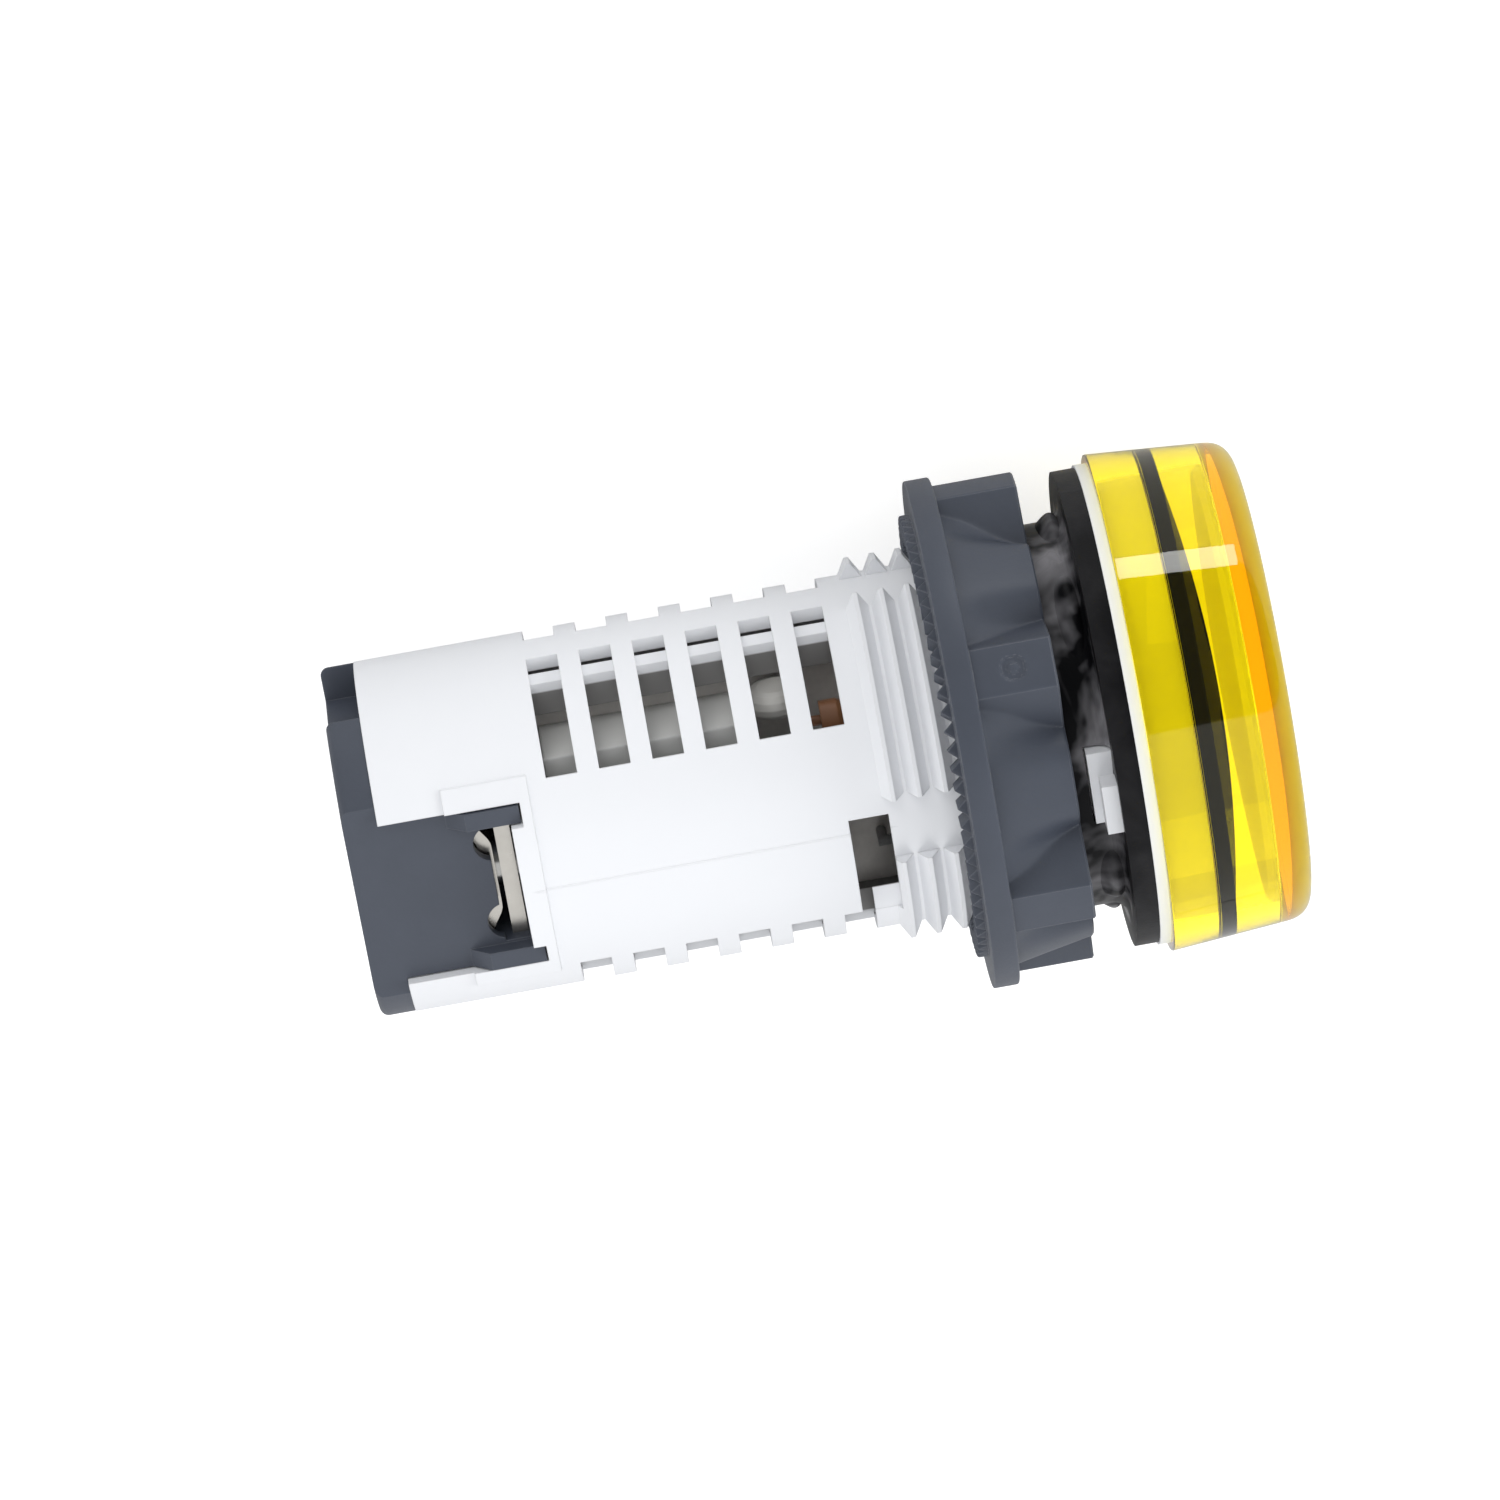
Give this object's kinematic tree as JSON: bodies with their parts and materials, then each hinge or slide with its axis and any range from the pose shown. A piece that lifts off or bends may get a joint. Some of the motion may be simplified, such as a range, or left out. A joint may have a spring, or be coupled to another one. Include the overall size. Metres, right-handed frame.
{
  "type": "panel pilot light",
  "caption": "Panel pilot light with a clear amber lens cap, slotted white body, sealing gasket, lobed lock nut and rear screw terminals.",
  "frame": {"origin": "on the light's axis, in the plane of the gasket's rear face, which lies on the panel", "axes": "-Y out of the lens, towards the person looking at the panel; +Y along the body behind the panel; +Z from the axis to the locating key"},
  "size_m": [0.0296, 0.0537, 0.0296],
  "materials": {
    "lens": "clear amber moulded plastic, glossy",
    "diffuser": "opal moulded plastic",
    "mask": "black moulded plastic",
    "lamp_board": "white solder mask",
    "lamp": "white case with a clear dish",
    "body": "satin moulded plastic, cool white",
    "gasket": "black rubber with shiny smears",
    "nut": "satin moulded plastic, dark blue-grey",
    "cover": "satin moulded plastic, dark blue-grey",
    "terminal": "tinned, dull bright",
    "screw": "zinc plated",
    "board": "bare board laminate",
    "capacitor_case": "grey box case",
    "ceramic": "dipped coating",
    "chip": "black moulded case",
    "resistor": "lacquered"
  },
  "bodies": {
    "root": {"lens": "lens", "diffuser": "diffuser", "lamp_mask": "mask", "lamp_board": "lamp_board", "lamp_1": "lamp", "lamp_2": "lamp", "lamp_3": "lamp", "lamp_4": "lamp", "lamp_5": "lamp", "lamp_6": "lamp", "body_shell": "body", "gasket": "gasket", "rear_cover": "cover", "terminal_strip_1": "terminal", "terminal_strip_2": "terminal", "main_board": "board", "box_capacitor": "capacitor_case", "disc_capacitor": "ceramic", "rectifier": "chip", "resistor_1": "resistor", "resistor_2": "resistor", "board_pin_1": "terminal", "board_pin_2": "terminal"},
    "nut": {"lock_nut": "nut"},
    "clamp_1": {"clamp_plate_1": "terminal"},
    "screw_1": {"clamp_screw_1": "screw"},
    "clamp_2": {"clamp_plate_2": "terminal"},
    "screw_2": {"clamp_screw_2": "screw"}
  },
  "joints": [
    {"name": "nut_travel", "type": "slide", "parent": "root", "child": "nut", "axis": [0, -1, 0], "range_m": [-0.0105, 0.0008]},
    {"name": "clamp_1_travel", "type": "slide", "parent": "root", "child": "clamp_1", "axis": [0, -1, 0], "range_m": [-0.0016, 0.0002]},
    {"name": "screw_1_turn", "type": "hinge", "parent": "clamp_1", "child": "screw_1", "pos_m": [0, 0.04, 0.0053], "axis": [0, -1, 0], "range_deg": [-1152, 144]},
    {"name": "clamp_2_travel", "type": "slide", "parent": "root", "child": "clamp_2", "axis": [0, -1, 0], "range_m": [-0.0016, 0.0002]},
    {"name": "screw_2_turn", "type": "hinge", "parent": "clamp_2", "child": "screw_2", "pos_m": [0, 0.04, -0.0053], "axis": [0, -1, 0], "range_deg": [-1152, 144]}
  ],
  "couplings": [
    {"joint": "screw_1_turn", "follows": "clamp_1_travel", "rad_per_m": 12566},
    {"joint": "screw_2_turn", "follows": "clamp_2_travel", "rad_per_m": 12566}
  ]
}
